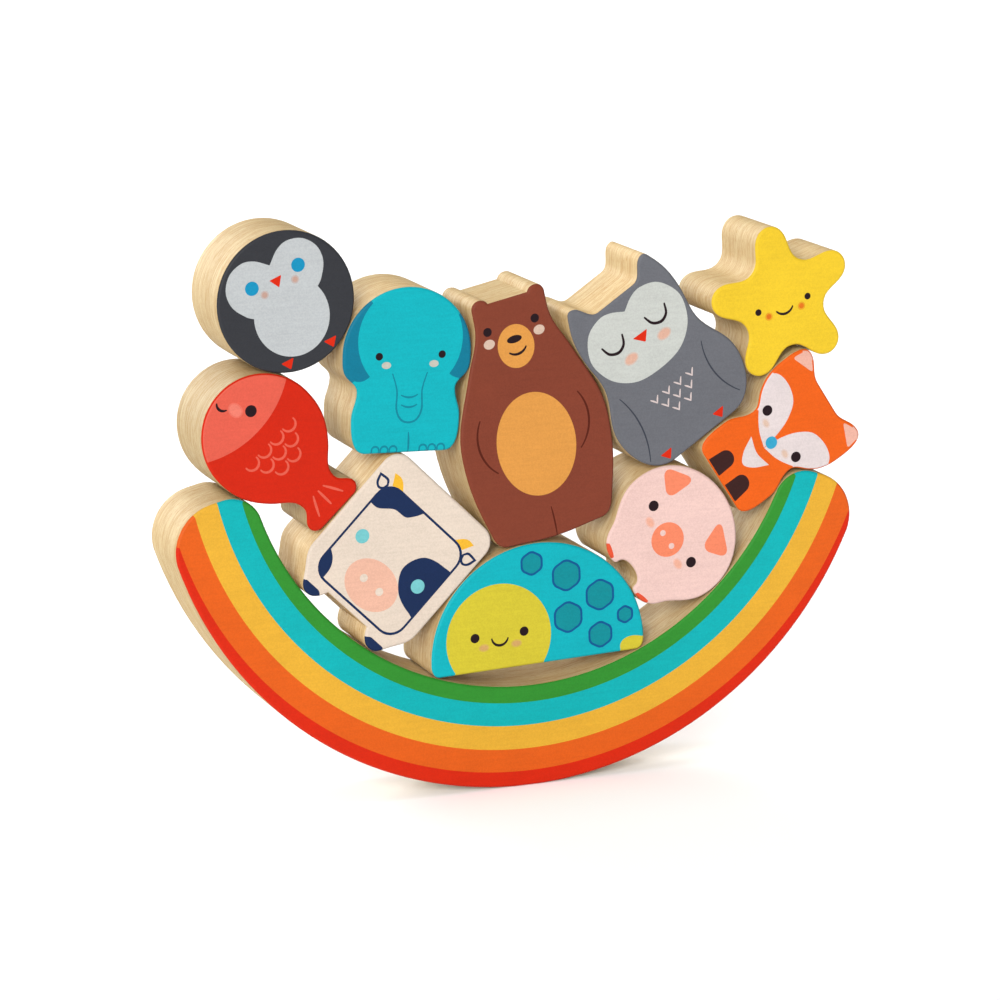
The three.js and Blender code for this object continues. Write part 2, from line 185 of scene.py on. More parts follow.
class PUZZLE_PG_paints(bpy.types.PropertyGroup):
    """Paints and the bare wood"""

    wood: paint("Wood", "Bare side of a board", 196, 175, 131)
    wood_line: paint("Wood line", "Darker lines of the grain", 165, 126, 69)
    green: paint("Green", "Inner stripe", 38, 115, 35)
    teal: paint("Teal", "Second stripe", 2, 143, 146)
    yellow: paint("Yellow", "Third stripe", 187, 141, 41)
    orange: paint("Orange", "Fourth stripe", 184, 76, 15)
    red: paint("Red", "Outer stripe, beaks and feet", 175, 29, 2)
    dark: paint("Dark brown", "Eyes and smiles", 24, 8, 14)
    turquoise: paint("Turquoise", "Turtle's shell and elephant's body", 2, 143, 152)
    lime: paint("Lime", "Turtle's head", 171, 158, 40)
    plate: paint("Plate", "Plates of the turtle's shell", 2, 114, 122)
    plate_line: paint("Plate line", "Lines round the plates", 2, 67, 115)
    lime_cheek: paint("Turtle's cheek", "Cheeks on lime", 169, 132, 79)
    cream: paint("Cream", "Cow's coat", 185, 171, 157)
    navy: paint("Navy", "Cow's patches and hooves", 14, 32, 65)
    pale_blue: paint("Pale blue", "Cow's eyes", 95, 161, 164)
    muzzle: paint("Muzzle", "Cow's muzzle", 191, 148, 128)
    horn: paint("Horn", "Cow's horns", 197, 150, 38)
    pink: paint("Pink", "Pig's coat", 192, 162, 155)
    salmon: paint("Salmon", "Pig's ears and snout", 198, 109, 79)
    pig_cheek: paint("Pig's cheek", "Cheeks on pink", 195, 143, 123)
    hoof: paint("Hoof", "Pig's feet", 185, 67, 40)
    brown: paint("Brown", "Bear's coat", 105, 48, 32)
    deep_brown: paint("Deep brown", "Lines on the bear", 67, 19, 5)
    tan: paint("Tan", "Bear's muzzle and belly", 180, 123, 56)
    bear_cheek: paint("Bear's cheek", "Cheeks on brown", 174, 151, 135)
    fox: paint("Fox", "Fox's coat", 190, 77, 12)
    fox_pale: paint("Pale", "Fox's cheeks and chest", 182, 171, 170)
    fox_ear: paint("Fox's ear", "Inside of the fox's ears", 189, 143, 128)
    fox_cheek: paint("Fox's cheek", "Cheeks on the pale face", 179, 153, 137)
    fox_dark: paint("Fox's paw", "Fox's paws", 44, 19, 17)
    nose_blue: paint("Nose blue", "Fox's nose", 41, 133, 164)
    fish: paint("Fish", "Fish's body", 168, 26, 2)
    coral: paint("Coral", "Fish's head and scales", 183, 75, 59)
    coral_cheek: paint("Fish's cheek", "Cheek on coral", 191, 100, 85)
    grey: paint("Grey", "Owl's feathers", 86, 87, 92)
    owl_pale: paint("Owl's face", "Pale face of the owl", 162, 164, 159)
    owl_mark: paint("Owl's marks", "Breast feathers", 175, 161, 158)
    owl_line: paint("Owl's line", "Edges of the wings", 47, 50, 58)
    owl_cheek: paint("Owl's cheek", "Cheeks on the pale face", 179, 141, 123)
    ear_blue: paint("Ear blue", "Elephant's ears", 2, 96, 119)
    trunk_line: paint("Trunk line", "Lines on the elephant", 2, 105, 122)
    elephant_cheek: paint("Elephant's cheek", "Cheeks on turquoise", 158, 156, 146)
    charcoal: paint("Charcoal", "Penguin's coat", 41, 42, 46)
    penguin_pale: paint("Penguin's front", "Pale face and belly of the penguin", 154, 157, 158)
    eye_blue: paint("Eye blue", "Penguin's eyes", 11, 115, 150)
    penguin_cheek: paint("Penguin's cheek", "Cheeks on the pale face", 156, 127, 115)
    star: paint("Star", "Star's face", 193, 161, 33)
    star_cheek: paint("Star's cheek", "Cheeks on the star", 180, 90, 14)


class PUZZLE_PG_sizes(bpy.types.PropertyGroup):
    """Sizes of the finish"""

    edge_softening: length("Edge softening", "Rounding of the two arrises of an eased edge", 0.24)
    smile_width: length("Smile width", "Brush width of a mouth", 0.8)
    line_width: length("Line width", "Brush width of other lines", 0.5)
    stripe_rise: length("Stripe rise", "Middle of the stripes above the rocker's lowest point", 115.4)
    green_edge: length("Green edge", "Radius of the border of green and teal", 89.9)
    teal_edge: length("Teal edge", "Radius of the border of teal and yellow", 96.8)
    yellow_edge: length("Yellow edge", "Radius of the border of yellow and orange", 103.9)
    orange_edge: length("Orange edge", "Radius of the border of orange and red", 110.7)


class PUZZLE_PG_stage(bpy.types.PropertyGroup):
    """Camera, lights and floor"""

    azimuth: angle("Azimuth", "Camera's turn to the right of the front", -22.02)
    elevation: angle("Elevation", "Camera's height over the level", 13.36)
    distance: length("Distance", "Camera to the point that it aims at", 1105.84)
    aim: FloatVectorProperty(
        name="Aim",
        description="Point in the middle of the picture",
        subtype="TRANSLATION",
        default=(-0.00426, 0, 0.08347),
    )
    lens: FloatProperty(name="Lens", description="Focal length", unit="CAMERA", default=137.37)
    floor_size: length("Floor", "Side of the floor", 16000)
    floor_colour: paint("Floor colour", "Pale floor", 248, 248, 248)
    sky: strength("Sky", "Strength of the light from all round", 0.5)
    key: strength("Key", "Strength of the light from the left", 3.6)
    top: strength("Top", "Strength of the light from above", 0.7)
    rear: strength("Rear", "Strength of the light from behind", 3.8)
    softness: angle("Softness", "Angle that each of the lights fills", 34)
    rear_way: direction("Rear way", "Way from the puzzle to the rear light", (-0.26, 0.92, 0.28))
    key_way: direction("Key way", "Way from the puzzle to the key light", (-0.55, -0.8, 0.35))


def finish_settings():
    """The paints and sizes that the user has set"""
    scene = bpy.context.scene
    return scene.puzzle_paints, scene.puzzle_sizes


# Drawing

def steps_for(radius, turn):
    """Chords that an arc needs to stay true"""
    cut = min(DEEPEST_CUT, CURVE_ERROR / radius)
    return max(ARC_CHORDS, math.ceil(turn / (2 * math.acos(1 - cut))))


def oval(x, z, across, up=None, turn=0):
    """Circle or oval from its half width and half height"""
    up = up or across
    count = max(OVAL_CHORDS, steps_for(max(across, up), 2 * math.pi))
    turned = Matrix.Rotation(math.radians(turn), 2)
    middle = Vector((x, z))
    angles = [2 * math.pi * i / count for i in range(count)]
    return [middle + turned @ Vector((across * math.cos(each), up * math.sin(each))) for each in angles]


def curve(start, leave, arrive, end):
    """Points along a curve, without its last"""
    reach = (leave - start).length + (arrive - leave).length + (end - arrive).length
    count = max(ARC_CHORDS, math.ceil(reach / CHORD_LENGTH)) + 1
    return interpolate_bezier(start, leave, arrive, end, min(count, SPAN_POINTS))[:-1]


def rounded(points, radius):
    """Polygon with its corners taken off"""
    corners = [Vector(p) for p in points]
    outline = []
    for i, corner in enumerate(corners):
        before = corners[i - 1] - corner
        after = corners[(i + 1) % len(corners)] - corner
        start = corner + before.normalized() * min(radius, before.length / SIDE_PARTS)
        end = corner + after.normalized() * min(radius, after.length / SIDE_PARTS)
        leave, arrive = start.lerp(corner, CORNER_HANDLE), end.lerp(corner, CORNER_HANDLE)
        outline += interpolate_bezier(start, leave, arrive, end, FAN_STEPS)
    return outline


def patch(points, corners=()):
    """Closed smooth shape through points, pointed at the corners named by their place in the list"""
    spots = [Vector(p) for p in points]
    count = len(spots)
    outline = []
    for i in range(count):
        before, start, end, after = (spots[(i + k) % count] for k in (-1, 0, 1, 2))
        pointed = (end - start) / POINTED_PARTS
        leave = pointed if i in corners else (end - before) / SMOOTH_PARTS
        arrive = pointed if (i + 1) % count in corners else (after - start) / SMOOTH_PARTS
        outline += curve(start, start + leave, end - arrive, end)
    return outline


def flipped(outline):
    """The same shape on the other side of the middle"""
    return [Vector((-p.x, p.y)) for p in reversed(outline)]


def arc_through(first, middle, last):
    """Points of the round arc through three points"""
    to_middle, to_last = middle - first, last - first
    across = to_last * to_middle.length_squared - to_middle * to_last.length_squared
    bend = to_middle.cross(to_last)
    centre = first + Vector((across.y, -across.x)) / (2 * bend)
    spoke = first - centre
    turn = math.atan2(spoke.cross(last - centre), spoke.dot(last - centre))
    if turn * bend < 0:
        turn -= math.copysign(2 * math.pi, turn)
    count = steps_for(spoke.length, abs(turn)) + FAN_STEPS
    return [centre + Matrix.Rotation(turn * k / count, 2) @ spoke for k in range(count + 1)]


def spine_through(points):
    """Round arc through three points, or smooth line through a straight row or more of them"""
    spots = [Vector(p) for p in points]
    if len(spots) == 3 and abs((spots[1] - spots[0]).cross(spots[2] - spots[0])) > SAME_POINT:
        return arc_through(*spots)
    line = []
    for i in range(len(spots) - 1):
        before, after = spots[max(i - 1, 0)], spots[min(i + 2, len(spots) - 1)]
        start, end = spots[i], spots[i + 1]
        leave, arrive = (end - before) / SMOOTH_PARTS, (after - start) / SMOOTH_PARTS
        line += curve(start, start + leave, end - arrive, end)
    return line + [spots[-1]]


def stroke(width, *points):
    """Brush line through points, thinner towards its rounded ends"""
    spine = spine_through(points)
    left, right = [], []
    for i, spot in enumerate(spine):
        run = spine[min(i + 1, len(spine) - 1)] - spine[max(i - 1, 0)]
        share = i / (len(spine) - 1)
        half = width * (STROKE_END + STROKE_GAIN * math.sin(math.pi * share))
        aside = run.orthogonal().normalized() * half
        left.append(spot + aside)
        right.append(spot - aside)
    turns = [Matrix.Rotation(-math.pi * k / FAN_STEPS, 2) for k in range(1, FAN_STEPS)]
    ends = []
    for first, last in ((left[-1], right[-1]), (right[0], left[0])):
        middle = (first + last) / 2
        ends.append([middle + turn @ (first - middle) for turn in turns])
    return left + ends[0] + right[::-1] + ends[1]


# Materials

def node_group(name, inputs, outputs):
    """An empty shader group with its sockets, and its two end nodes"""
    group = bpy.data.node_groups.new(name, "ShaderNodeTree")
    for way, sockets in (("INPUT", inputs), ("OUTPUT", outputs)):
        for label, kind in sockets:
            group.interface.new_socket(label, in_out=way, socket_type="NodeSocket" + kind)
    return group, group.nodes.new("NodeGroupInput").outputs, group.nodes.new("NodeGroupOutput").inputs


def noise(tree, vector, stretch, detail, roughness, waviness=0):
    """Noise whose features per metre are given for each axis"""
    mapping = tree.nodes.new("ShaderNodeMapping")
    mapping.inputs["Scale"].default_value = stretch
    tree.links.new(vector, mapping.inputs["Vector"])
    texture = tree.nodes.new("ShaderNodeTexNoise")
    texture.inputs["Scale"].default_value = 1
    texture.inputs["Detail"].default_value = detail
    texture.inputs["Roughness"].default_value = roughness
    texture.inputs["Distortion"].default_value = waviness
    tree.links.new(mapping.outputs["Vector"], texture.inputs["Vector"])
    return texture.outputs["Fac"]


def spread(tree, value, low, high, to_low, to_high):
    """A value carried from one range to another, and held there"""
    node = tree.nodes.new("ShaderNodeMapRange")
    for socket, number in zip(("From Min", "From Max", "To Min", "To Max"), (low, high, to_low, to_high)):
        node.inputs[socket].default_value = number
    tree.links.new(value, node.inputs["Value"])
    return node.outputs["Result"]


def maths(tree, operation, first, second):
    """Two values made into one by a named operation"""
    node = tree.nodes.new("ShaderNodeMath")
    node.operation = operation
    for socket, value in zip(node.inputs, (first, second)):
        tree.links.new(value, socket)
    return node.outputs["Value"]


def mixed(tree, share, first, second):
    """Two colours mixed by a share"""
    node = tree.nodes.new("ShaderNodeMix")
    node.data_type = "RGBA"
    for socket, value in (("Factor", share), ("A", first), ("B", second)):
        tree.links.new(value, node.inputs[socket])
    return node.outputs["Result"]


def brightened(tree, colour, factor):
    """A colour made lighter or darker by a value"""
    node = tree.nodes.new("ShaderNodeHueSaturation")
    tree.links.new(colour, node.inputs["Color"])
    tree.links.new(factor, node.inputs["Value"])
    return node.outputs["Color"]


def wood_grain_group():
    """Bare board: fine lines that lie in the plane of the board, pores and a slow change of tint"""
    group, inside, out = node_group(
        "wood_grain",
        [("Vector", "Vector"), ("Wood", "Color"), ("Line", "Color")],
        [("Color", "Color"), ("Roughness", "Float"), ("Height", "Float")],
    )
    vector = inside["Vector"]
    lines = noise(group, vector, stretch=(50, 1200, 50), detail=6, roughness=0.74, waviness=1.3)
    bands = noise(group, vector, stretch=(16, 170, 16), detail=3, roughness=0.55)
    pores = noise(group, vector, stretch=(420, 2700, 420), detail=2, roughness=0.5)
    tint = noise(group, vector, stretch=(26, 40, 26), detail=3, roughness=0.55)
    line_share = spread(group, lines, low=0.43, high=0.60, to_low=0, to_high=0.68)
    band_share = spread(group, bands, low=0.40, high=0.72, to_low=0, to_high=0.12)
    pore_share = spread(group, pores, low=0.54, high=0.68, to_low=0, to_high=0.75)
    share = maths(group, "ADD", maths(group, "MAXIMUM", line_share, pore_share), band_share)
    grained = mixed(group, share, inside["Wood"], inside["Line"])
    tone = spread(group, tint, low=0.3, high=0.7, to_low=0.94, to_high=1.05)
    roughness = spread(group, share, low=0, high=0.8, to_low=0.56, to_high=0.7)
    height = spread(group, share, low=0, high=0.8, to_low=1, to_high=0)
    group.links.new(brightened(group, grained, tone), out["Color"])
    group.links.new(roughness, out["Roughness"])
    group.links.new(height, out["Height"])
    return group


def paint_mottle_group():
    """Brushed paint: slow clouds of tone, the board's fibres showing through, and fine specks"""
    group, inside, out = node_group(
        "paint_mottle",
        [("Vector", "Vector"), ("Paint", "Color")],
        [("Color", "Color"), ("Roughness", "Float"), ("Height", "Float")],
    )
    vector = inside["Vector"]
    clouds = noise(group, vector, stretch=(70, 70, 70), detail=3, roughness=0.55)
    fibres = noise(group, vector, stretch=(110, 900, 1300), detail=3, roughness=0.6)
    specks = noise(group, vector, stretch=(2300, 2300, 2300), detail=2, roughness=0.5)
    cloud_tone = spread(group, clouds, low=0.3, high=0.7, to_low=-0.03, to_high=0.03)
    fibre_tone = spread(group, fibres, low=0.3, high=0.7, to_low=-0.035, to_high=0.035)
    speck_tone = spread(group, specks, low=0.35, high=0.65, to_low=0.95, to_high=1.05)
    tone = maths(group, "ADD", maths(group, "ADD", cloud_tone, fibre_tone), speck_tone)
    roughness = spread(group, fibres, low=0.3, high=0.7, to_low=0.46, to_high=0.58)
    group.links.new(brightened(group, inside["Paint"], tone), out["Color"])
    group.links.new(roughness, out["Roughness"])
    group.links.new(maths(group, "ADD", fibres, specks), out["Height"])
    return group


def group_named(name, build):
    """A shader group, built the first time that it is asked for"""
    return bpy.data.node_groups.get(name) or build()


def surface(name, group, colours, offset, depth):
    """Material whose colour, roughness and bump come from a shared group"""
    material = bpy.data.materials.new(name)
    material.use_nodes = True
    tree = material.node_tree
    shader = tree.nodes["Principled BSDF"]
    place = tree.nodes.new("ShaderNodeTexCoord")
    mapping = tree.nodes.new("ShaderNodeMapping")
    mapping.inputs["Location"].default_value = offset
    effect = tree.nodes.new("ShaderNodeGroup")
    effect.node_tree = group
    relief = tree.nodes.new("ShaderNodeBump")
    relief.inputs["Distance"].default_value = depth * MM
    for socket, colour in colours.items():
        effect.inputs[socket].default_value = (*colour, 1)
        material.diffuse_color = (*colour, 1)
    tree.links.new(place.outputs["Object"], mapping.inputs["Vector"])
    tree.links.new(mapping.outputs["Vector"], effect.inputs["Vector"])
    tree.links.new(effect.outputs["Color"], shader.inputs["Base Color"])
    tree.links.new(effect.outputs["Roughness"], shader.inputs["Roughness"])
    tree.links.new(effect.outputs["Height"], relief.inputs["Height"])
    tree.links.new(relief.outputs["Normal"], shader.inputs["Normal"])
    shader.inputs["Specular IOR Level"].default_value = SHINE
    return material


def wood_material(node):
    """Bare wood of one board, cut from its own stretch of timber, with a tone that is partly painted light
    """
    paints, _ = finish_settings()
    place = TIMBER_STEP * (1 + list(LEANS).index(node))
    group = group_named("wood_grain", wood_grain_group)
    # The tone is partly painted light that lifts the board's sides lying in shade between blocks
    colours = {"Line": paints.wood_line * WOOD_TONES_AND_PAINTED_LIGHT[node], "Wood": paints.wood * WOOD_TONES_AND_PAINTED_LIGHT[node]}
    return surface(node + "_wood", group, colours, (place, place, place), WOOD_RELIEF)


def paint_material(ink):
    """One paint for all blocks; "one over another" is a thin coat of the first on the second"""
    name = "paint_" + ink.replace(" ", "_")
    if name in bpy.data.materials:
        return bpy.data.materials[name]
    paints, _ = finish_settings()
    shades = [getattr(paints, each) for each in ink.split(" over ")]
    colour = sum(shades, Color((0, 0, 0))) / len(shades)
    group = group_named("paint_mottle", paint_mottle_group)
    return surface(name, group, {"Paint": colour}, (0, 0, 0), PAINT_RELIEF)


# Boards

class Drawing:
    """Upright frame of a block, in which its print is drawn from its base or from a depth under its top"""

    def __init__(self, node, under_top=None):
        self.turn = Matrix.Rotation(math.radians(LEANS[node]), 2)
        self.origin = Vector((0, 0))
        points = [self.flat(v.co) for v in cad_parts[node].data.vertices]
        left, right = min(p.x for p in points), max(p.x for p in points)
        low, high = min(p.y for p in points), max(p.y for p in points)
        base = low if under_top is None else high - under_top
        self.origin = Vector(((left + right) / 2, base))

    def flat(self, place):
        """Point of the board as a point of the drawing"""
        return self.turn.transposed() @ Vector((place.x, place.z)) / MM - self.origin

    def solid(self, point, y):
        """Point of the drawing as a point of the board"""
        placed = self.turn @ (self.origin + point) * MM
        return Vector((placed.x, y, placed.y))


def slope(face):
    """Share of the face's normal that points to the front or back"""
    return abs(face.normal.y)


def softened_board(node, softening):
    """Copy of the board's solid, merged, with the arrises of its eased edges rounded"""
    board = bmesh.new()
    board.from_mesh(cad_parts[node].data)
    bmesh.ops.remove_doubles(board, verts=board.verts, dist=MERGE_DISTANCE)
    bmesh.ops.dissolve_limit(board, angle_limit=FLAT_ANGLE, verts=board.verts, edges=board.edges)
    board.normal_update()
    arrises = []
    for edge in board.edges:
        slopes = sorted(slope(face) for face in edge.link_faces)
        if len(slopes) == 2 and slopes[1] - slopes[0] > ARRIS_STEP:
            arrises.append(edge)
    bmesh.ops.bevel(
        board,
        geom=arrises,
        offset=softening,
        segments=ARRIS_SEGMENTS,
        profile=0.5,
        affect="EDGES",
        material=-1,
        clamp_overlap=False,
    )
    board.normal_update()
    return board


def cap_of(board, side):
    """The flat face of a board, side -1 at the front and 1 at the back"""
    caps = [face for face in board.faces if face.normal.y * side > CAP_SLOPE]
    return max(caps, key=lambda face: face.calc_area())


def strip_across(edge, cap):
    """Faces of the eased edge from an edge of the flat face over to the side of the board"""
    faces = []
    face = next((f for f in edge.link_faces if f is not cap), None)
    while face is not None and slope(face) > SIDE_SLOPE and len(face.verts) == 4:
        faces.append(face)
        edge = next(e for e in face.edges if not set(e.verts) & set(edge.verts))
        face = next((f for f in edge.link_faces if f is not face), None)
    return faces


def edge_gap(edge, place):
    """Distance from a place to an edge"""
    start, end = (v.co for v in edge.verts)
    run = end - start
    share = max(0, min(1, (place - start).dot(run) / run.length_squared))
    return (start + run * share - place).length


def cut_eased_edge(board, cap, drawing, outlines):
    """Cuts the eased edge where the border of a drawn shape runs over it, so that the paint ends there"""
    planes = []
    for edge in cap.edges:
        start, end = (drawing.flat(v.co) for v in edge.verts)
        way = drawing.turn @ (end - start).normalized()
        for outline in outlines:
            for i, point in enumerate(outline):
                spot = intersect_line_line_2d(start, end, outline[i - 1], point)
                if spot and min((spot - start).length, (spot - end).length) > SAME_POINT:
                    planes.append((drawing.solid(spot, edge.verts[0].co.y), Vector((way.x, 0, way.y))))
    for place, way in sorted(planes, key=lambda plane: plane[0][:]):
        edge = min(cap.edges, key=lambda e: edge_gap(e, place))
        strip = strip_across(edge, cap)
        geometry = dict.fromkeys(part for face in strip for part in (face, *face.edges, *face.verts))
        bmesh.ops.bisect_plane(board, geom=list(geometry), dist=CUT_DISTANCE, plane_co=place, plane_no=way)
    board.normal_update()


def place_rank(vert):
    """Place of a vertex, to sort by"""
    return [round(measure / ORDER_STEP) for measure in vert.co]


def from_lowest(ring, rank=None):
    """The same ring from its lowest item on"""
    first = ring.index(min(ring, key=rank))
    return ring[first:] + ring[:first]


def put_in_order(board):
    """Sorts vertices, edges and faces by place, since rounding and cutting leave them in any order"""
    for i, vert in enumerate(sorted(board.verts, key=place_rank)):
        vert.index = i
    board.verts.sort()
    for elements in (board.edges, board.faces):
        for i, element in enumerate(sorted(elements, key=lambda e: sorted(v.index for v in e.verts))):
            element.index = i
        elements.sort()


def is_anticlockwise(outline):
    """Whether a drawn outline runs anticlockwise"""
    return sum(outline[i - 1].cross(p) for i, p in enumerate(outline)) > 0


def numbered(ground, print_layers):
    """Outlines of a print, each once, and its layers as an ink and the numbers of the outlines it fills"""
    outlines = []
    layers = [(ground, set())]
    for ink, *parts in print_layers:
        for outline in parts:
            if outline not in outlines:
                outlines.append(outline)
        layers.append((ink, {1 + outlines.index(outline) for outline in parts}))
    return [outline if is_anticlockwise(outline) else outline[::-1] for outline in outlines], layers


def new_vertex(board, rim_edges, place):
    """Vertex of a flat face, which splits an edge of the rim where it lies on one"""
    near = min(rim_edges, key=lambda e: edge_gap(e, place))
    if edge_gap(near, place) >= RIM_DISTANCE:
        return board.verts.new(place)
    start, end = near.verts
    share = (place - start.co).length / (end.co - start.co).length
    made, vert = bmesh.utils.edge_split(near, start, share)
    rim_edges.append(made)
    return vert


def paint_cap(board, side, drawing, ground, print_layers, ink_numbers):
    """Divides a flat face along the borders of its print, and gives each part its paint"""
    outlines, layers = numbered(ground, print_layers)
    cap = cap_of(board, side)
    if outlines:
        cut_eased_edge(board, cap, drawing, outlines)
        cap = cap_of(board, side)
    rim = [loop.vert for loop in cap.loops]
    if side > 0:
        rim.reverse()
    rim = from_lowest(rim, place_rank)
    y = rim[0].co.y
    points = [drawing.flat(v.co) for v in rim]
    loops = [list(range(len(rim)))]
    for outline in outlines:
        loops.append(list(range(len(points), len(points) + len(outline))))
        points += outline
    found = delaunay_2d_cdt(points, [], loops, ALL_TRIANGLES, DIVISION_DISTANCE)
    spots, _, triangles, from_points, _, from_loops = found
    parts = [(triangle, set(inside)) for triangle, inside in zip(triangles, from_loops) if 0 in inside]
    bmesh.ops.delete(board, geom=[cap], context="FACES_ONLY")
    rim_edges = [board.edges.get((v, rim[i - 1])) for i, v in enumerate(rim)]
    verts = {}
    for i in sorted({i for triangle, _ in parts for i in triangle}):
        own = [k for k in from_points[i] if k < len(rim)]
        verts[i] = rim[own[0]] if own else new_vertex(board, rim_edges, drawing.solid(spots[i], y))
    for triangle, inside in parts:
        corners = [verts[i] for i in from_lowest(triangle)]
        if len(set(corners)) < len(corners):
            continue
        if side > 0:
            corners.reverse()
        ink = next(name for name, numbers in reversed(layers) if numbers <= inside)
        board.faces.new(corners).material_index = ink_numbers[ink]
    board.normal_update()


def paint_eased_edge(board, side, coat):
    """Carries the print over the eased edge, or only onto its start where the rest has a coat of its own"""
    for face in list(board.faces):
        if face.normal.y * side < CAP_SLOPE:
            continue
        for edge in face.edges:
            if all(slope(f) >= CAP_SLOPE for f in edge.link_faces):
                continue
            for ring in strip_across(edge, face):
                if slope(ring) > PAINTED_SLOPE:
                    printed = coat is None or slope(ring) > PRINTED_SLOPE
                    ring.material_index = face.material_index if printed else coat


def shading_normals(mesh):
    """Normals that keep the flat faces flat and turn evenly over the eased edges and round the sides"""
    at_vertex = {}
    for face in mesh.polygons:
        for vertex in face.vertices:
            at_vertex.setdefault(vertex, []).append(face)
    normals = []
    for face in mesh.polygons:
        for vertex in face.vertices:
            around = at_vertex[vertex]
            flat = [f for f in around if abs(f.normal.y) > CAP_SLOPE]
            if flat:
                normals.append(flat[0].normal.copy())
                continue
            sides = [f for f in around if abs(f.normal.y) < SIDE_SLOPE] or around
            alike = [f for f in sides if f.normal.dot(face.normal) > SAME_SIDE] or [face]
            normals.append(sum((f.normal for f in alike), Vector()).normalized())
    return normals


def add_object(name, data):
    """New object in the scene"""
    made = bpy.data.objects.new(name, data)
    bpy.context.scene.collection.objects.link(made)
    return made


def make_block(node, ground, front, back=(), under_top=None, rimmed=False):
    """Painted board of one node, printed front and back; a rimmed one keeps the ground coat on its edge"""
    _, sizes = finish_settings()
    drawing = Drawing(node, under_top)
    inks = [ground]
    for ink, *_ in (*front, *back):
        if ink not in inks:
            inks.append(ink)
    ink_numbers = {ink: i + 1 for i, ink in enumerate(inks)}
    board = softened_board(node, sizes.edge_softening)
    for each in board.faces:
        each.material_index = 0
    coat = ink_numbers[ground] if rimmed else None
    for side, print_layers in ((-1, front), (1, back)):
        paint_cap(board, side, drawing, ground, print_layers, ink_numbers)
        paint_eased_edge(board, side, coat)
    for each in board.faces:
        each.smooth = True
    put_in_order(board)
    mesh = bpy.data.meshes.new(node + "_board")
    board.to_mesh(mesh)
    board.free()
    mesh.materials.append(wood_material(node))
    for ink in inks:
        mesh.materials.append(paint_material(ink))
    mesh.normals_split_custom_set(shading_normals(mesh))
    piece = add_object(node + "_board", mesh)
    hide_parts(node)
    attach(piece, node)


# Motifs of the prints

def eyes(spots, radius, ink="dark"):
    """Round eyes"""
    return [(ink, oval(x, z, radius)) for x, z in spots]


def cheeks(spots, across, up, ink, coat):
    """Soft cheeks that fade into the coat"""
    fade = f"{ink} over {coat}"
    layers = []
    for x, z in spots:
        layers.append((fade, oval(x, z, across + CHEEK_FADE, up + CHEEK_FADE)))
        layers.append((ink, oval(x, z, across - CHEEK_FADE, up - CHEEK_FADE)))
    return layers


def smile(*points):
    """Mouth that is one brush line"""
    _, sizes = finish_settings()
    return "dark", stroke(sizes.smile_width / MM, *points)


def pair(ink, outline):
    """A shape and its mirror image"""
    return [(ink, outline), (ink, flipped(outline))]


def in_rows(rows, spacing):
    """Places in rows about the middle, from how many a row has and its level"""
    return [(spacing * (k - (count - 1) / 2), level) for count, level in rows for k in range(count)]


def heart(middle, dip, half, chin):
    """Heart from the level of its dip, the points of its right half and the level of its chin"""
    mirrored = [(2 * middle - x, z) for x, z in reversed(half)]
    return patch(((middle, dip), *half, (middle, chin), *mirrored), (0,))


# Pieces

class PUZZLE_OT_rainbow(bpy.types.Operator):
    """Rocker with five stripes about one middle"""

    bl_idname = "puzzle.rainbow"
    bl_label = "Rainbow rocker"

    def execute(self, context):
        _, sizes = finish_settings()
        rise = sizes.stripe_rise / MM
        inks = ("orange", "yellow", "teal", "green")
        stripes = [(ink, oval(0, rise, getattr(sizes, ink + "_edge") / MM)) for ink in inks]
        make_block("rainbow", "red", stripes, stripes)
        return {"FINISHED"}


class PUZZLE_OT_turtle(bpy.types.Operator):
    """Turquoise dome with a lime head and a plated shell"""

    bl_idname = "puzzle.turtle"
    bl_label = "Turtle"

    def execute(self, context):
        upper_plates = ((-1.5, 30.4, 4), (9.2, 25.4, 5.2), (19.6, 18.2, 5.2))
        lower_plates = ((9.4, 12.8, 5.2), (19.4, 6.2, 4.4), (27.4, 11.2, 3))
        border = 0.75
        rounding = 0.28
        turns = [math.radians(60 * k + 30) for k in range(6)]
        coat = []
        for x, z, size in upper_plates + lower_plates:
            for ink, reach in (("plate_line", size), ("plate", size - border)):
                corners = [(x + reach * math.cos(turn), z + reach * math.sin(turn)) for turn in turns]
                coat.append((ink, rounded(corners, rounding * reach)))
        coat.append(("lime", oval(31, 0.6, 5.6, 3.6, -18)))
        face = [("lime", oval(-12.45, 9.4, 16.3))]
        face += eyes(((-19.85, 10.4), (-4.55, 10.5)), 1.4)
        face.append(smile((-14.65, 9.5), (-12.1, 7.3), (-9.65, 9.2)))
        face += cheeks(((-17.15, 7.2), (-7.05, 7.2)), 1.5, 1, "lime_cheek", "lime")
        make_block("turtle", "turquoise", coat + face, coat)
        return {"FINISHED"}


